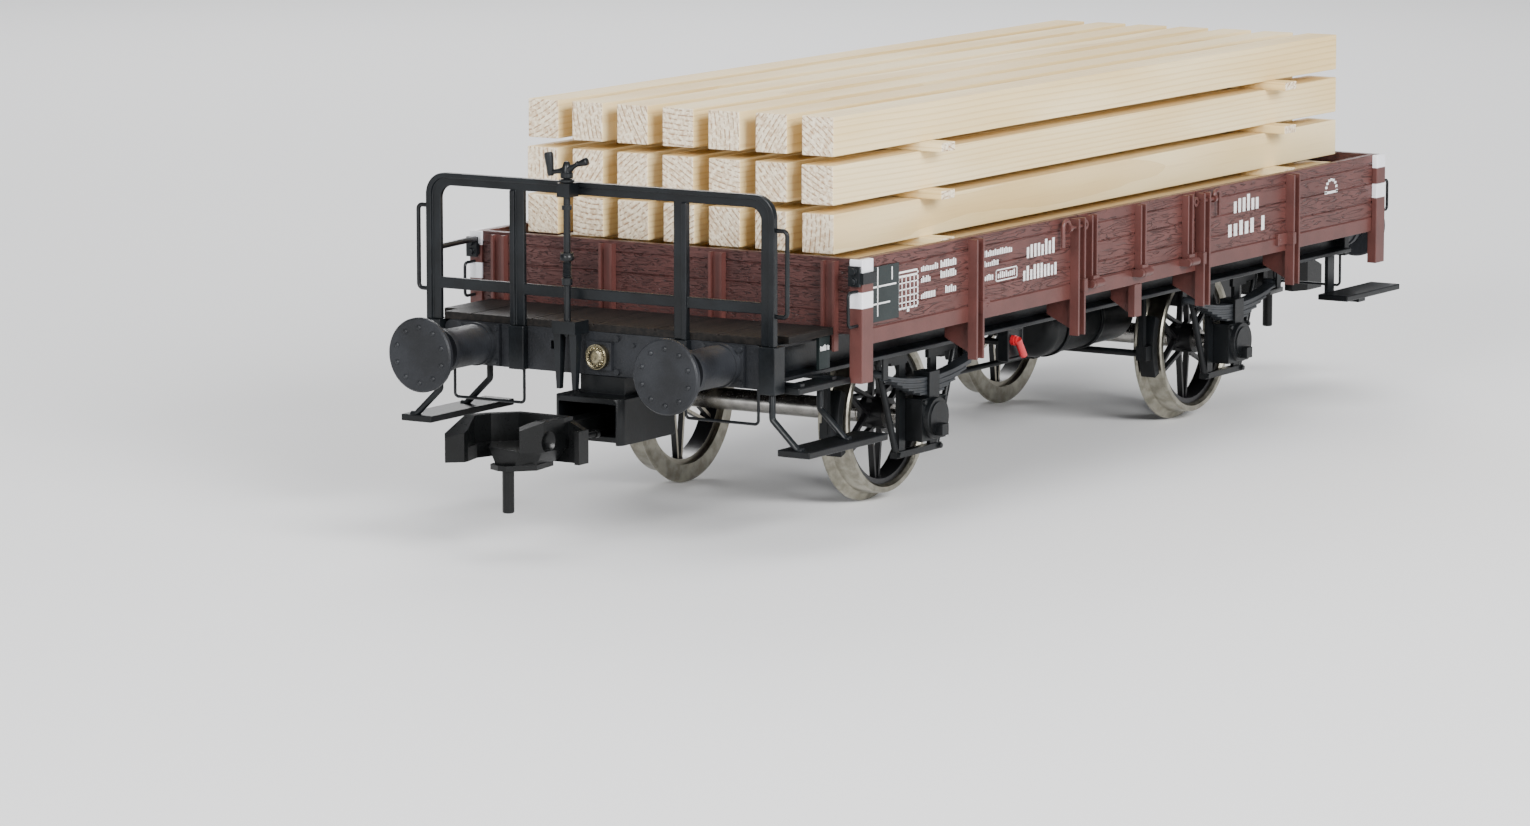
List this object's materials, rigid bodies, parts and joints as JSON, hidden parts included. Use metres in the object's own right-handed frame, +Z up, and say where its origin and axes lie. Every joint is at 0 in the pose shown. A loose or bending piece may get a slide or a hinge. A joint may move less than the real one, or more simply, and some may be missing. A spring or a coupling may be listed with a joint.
{
  "type": "model railway flat car with timber load",
  "caption": "Two-axle model flat car with a brakeman's platform, drop sides, spoked wheels, claw couplers and a load of squared timber.",
  "frame": {"origin": "on the plane under the wheel flanges, at the middle of the length over couplers and of the width", "axes": "+X along the car from the platform end to the far end, +Y to the left side, +Z up"},
  "size_m": [0.3096, 0.091, 0.0777],
  "materials": {
    "black_frame": "satin",
    "brown_body": "satin",
    "deck_wood": "matte",
    "nickel": "satin",
    "black_plastic": "satin",
    "steel_dark": "satin",
    "red_lever": "gloss",
    "pine": "matte",
    "marking_dark": "matte",
    "claw_plastic": "satin"
  },
  "bodies": {
    "chassis": {"headstocks": "black_frame", "solebars": "black_frame", "cross_beams": "black_frame", "floor_bearers": "black_frame", "wagon_floor": "deck_wood", "platform_deck": "deck_wood", "side_sills": "brown_body", "side_boards": "brown_body", "end_walls": "brown_body", "stanchions": "brown_body", "corner_posts": "brown_body", "post_gussets": "black_frame", "hinge_lugs": "brown_body", "hinge_pins": "brown_body", "railing": "black_frame", "wire_handles": "steel_dark", "corner_brackets": "black_frame", "spindle_bearings": "black_frame", "drawbar_screw": "nickel", "headstock_fittings": "black_frame", "buffer_housings": "black_frame", "coupler_pockets": "black_plastic", "axle_guards": "black_frame", "axle_boxes": "black_plastic", "spring_leaves": "black_plastic", "spring_fittings": "black_plastic", "brake_shoes": "black_plastic", "brake_rigging": "black_plastic", "air_tank": "black_plastic", "changeover_box": "black_plastic", "changeover_lever": "red_lever", "step_boards": "black_plastic", "step_hangers": "steel_dark", "label_boards": "marking_dark"},
    "wheelset_front": {"axle_front": "nickel", "tyres_front": "nickel", "wheel_centres_front": "black_plastic"},
    "wheelset_rear": {"axle_rear": "nickel", "tyres_rear": "nickel", "wheel_centres_rear": "black_plastic"},
    "buffer_front_left": {"buffer_head_front_left": "steel_dark"},
    "buffer_front_right": {"buffer_head_front_right": "steel_dark"},
    "buffer_rear_left": {"buffer_head_rear_left": "steel_dark"},
    "buffer_rear_right": {"buffer_head_rear_right": "steel_dark"},
    "coupler_swing_front": {"coupler_front": "claw_plastic", "uncoupling_pin_front": "steel_dark"},
    "coupler_swing_rear": {"coupler_rear": "claw_plastic", "uncoupling_pin_rear": "steel_dark"},
    "hand_brake": {"brake_spindle": "steel_dark", "brake_crank": "steel_dark"},
    "door_left": {"drop_side_left": "brown_body", "drop_side_straps_left": "brown_body"},
    "door_right": {"drop_side_right": "brown_body", "drop_side_straps_right": "brown_body"},
    "door_latch_front_left": {"latch_front_left": "brown_body"},
    "door_latch_front_right": {"latch_front_right": "brown_body"},
    "door_latch_rear_left": {"latch_rear_left": "brown_body"},
    "door_latch_rear_right": {"latch_rear_right": "brown_body"},
    "load": {"timber_beams": "pine", "load_strips": "pine"}
  },
  "joints": [
    {"name": "wheelset_front_roll", "type": "hinge", "parent": "chassis", "child": "wheelset_front", "pos_m": [-0.0576, 0, 0.0172], "axis": [0, 1, 0], "continuous": true},
    {"name": "wheelset_rear_roll", "type": "hinge", "parent": "chassis", "child": "wheelset_rear", "pos_m": [0.0674, 0, 0.0172], "axis": [0, 1, 0], "continuous": true},
    {"name": "buffer_front_left_slide", "type": "slide", "parent": "chassis", "child": "buffer_front_left", "axis": [1, 0, 0], "range_m": [0, 0.003], "stiffness_N_per_m": 150},
    {"name": "buffer_front_right_slide", "type": "slide", "parent": "chassis", "child": "buffer_front_right", "axis": [1, 0, 0], "range_m": [0, 0.003], "stiffness_N_per_m": 150},
    {"name": "buffer_rear_left_slide", "type": "slide", "parent": "chassis", "child": "buffer_rear_left", "axis": [-1, 0, 0], "range_m": [0, 0.003], "stiffness_N_per_m": 150},
    {"name": "buffer_rear_right_slide", "type": "slide", "parent": "chassis", "child": "buffer_rear_right", "axis": [-1, 0, 0], "range_m": [0, 0.003], "stiffness_N_per_m": 150},
    {"name": "coupler_front_swing", "type": "hinge", "parent": "chassis", "child": "coupler_swing_front", "pos_m": [-0.112, 0, 0.0216], "axis": [0, 0, 1], "range_deg": [-15, 15]},
    {"name": "coupler_rear_swing", "type": "hinge", "parent": "chassis", "child": "coupler_swing_rear", "pos_m": [0.112, 0, 0.0216], "axis": [0, 0, 1], "range_deg": [-15, 15]},
    {"name": "hand_brake_turn", "type": "hinge", "parent": "chassis", "child": "hand_brake", "pos_m": [-0.1218, 0.0054, 0.06], "axis": [0, 0, 1], "continuous": true},
    {"name": "door_left_drop", "type": "hinge", "parent": "chassis", "child": "door_left", "pos_m": [0.0102, 0.0446, 0.0385], "axis": [-1, 0, 0], "range_deg": [0, 175]},
    {"name": "door_right_drop", "type": "hinge", "parent": "chassis", "child": "door_right", "pos_m": [0.0102, -0.0446, 0.0385], "axis": [1, 0, 0], "range_deg": [0, 175]},
    {"name": "latch_front_left_turn", "type": "hinge", "parent": "chassis", "child": "door_latch_front_left", "pos_m": [-0.0198, 0.044, 0.0503], "axis": [1, 0, 0], "range_deg": [0, 28]},
    {"name": "latch_front_right_turn", "type": "hinge", "parent": "chassis", "child": "door_latch_front_right", "pos_m": [-0.0198, -0.044, 0.0503], "axis": [-1, 0, 0], "range_deg": [0, 28]},
    {"name": "latch_rear_left_turn", "type": "hinge", "parent": "chassis", "child": "door_latch_rear_left", "pos_m": [0.0402, 0.044, 0.0503], "axis": [1, 0, 0], "range_deg": [0, 28]},
    {"name": "latch_rear_right_turn", "type": "hinge", "parent": "chassis", "child": "door_latch_rear_right", "pos_m": [0.0402, -0.044, 0.0503], "axis": [-1, 0, 0], "range_deg": [0, 28]},
    {"name": "load_lift", "type": "slide", "parent": "chassis", "child": "load", "axis": [0, 0, 1], "range_m": [0, 0.05]}
  ]
}
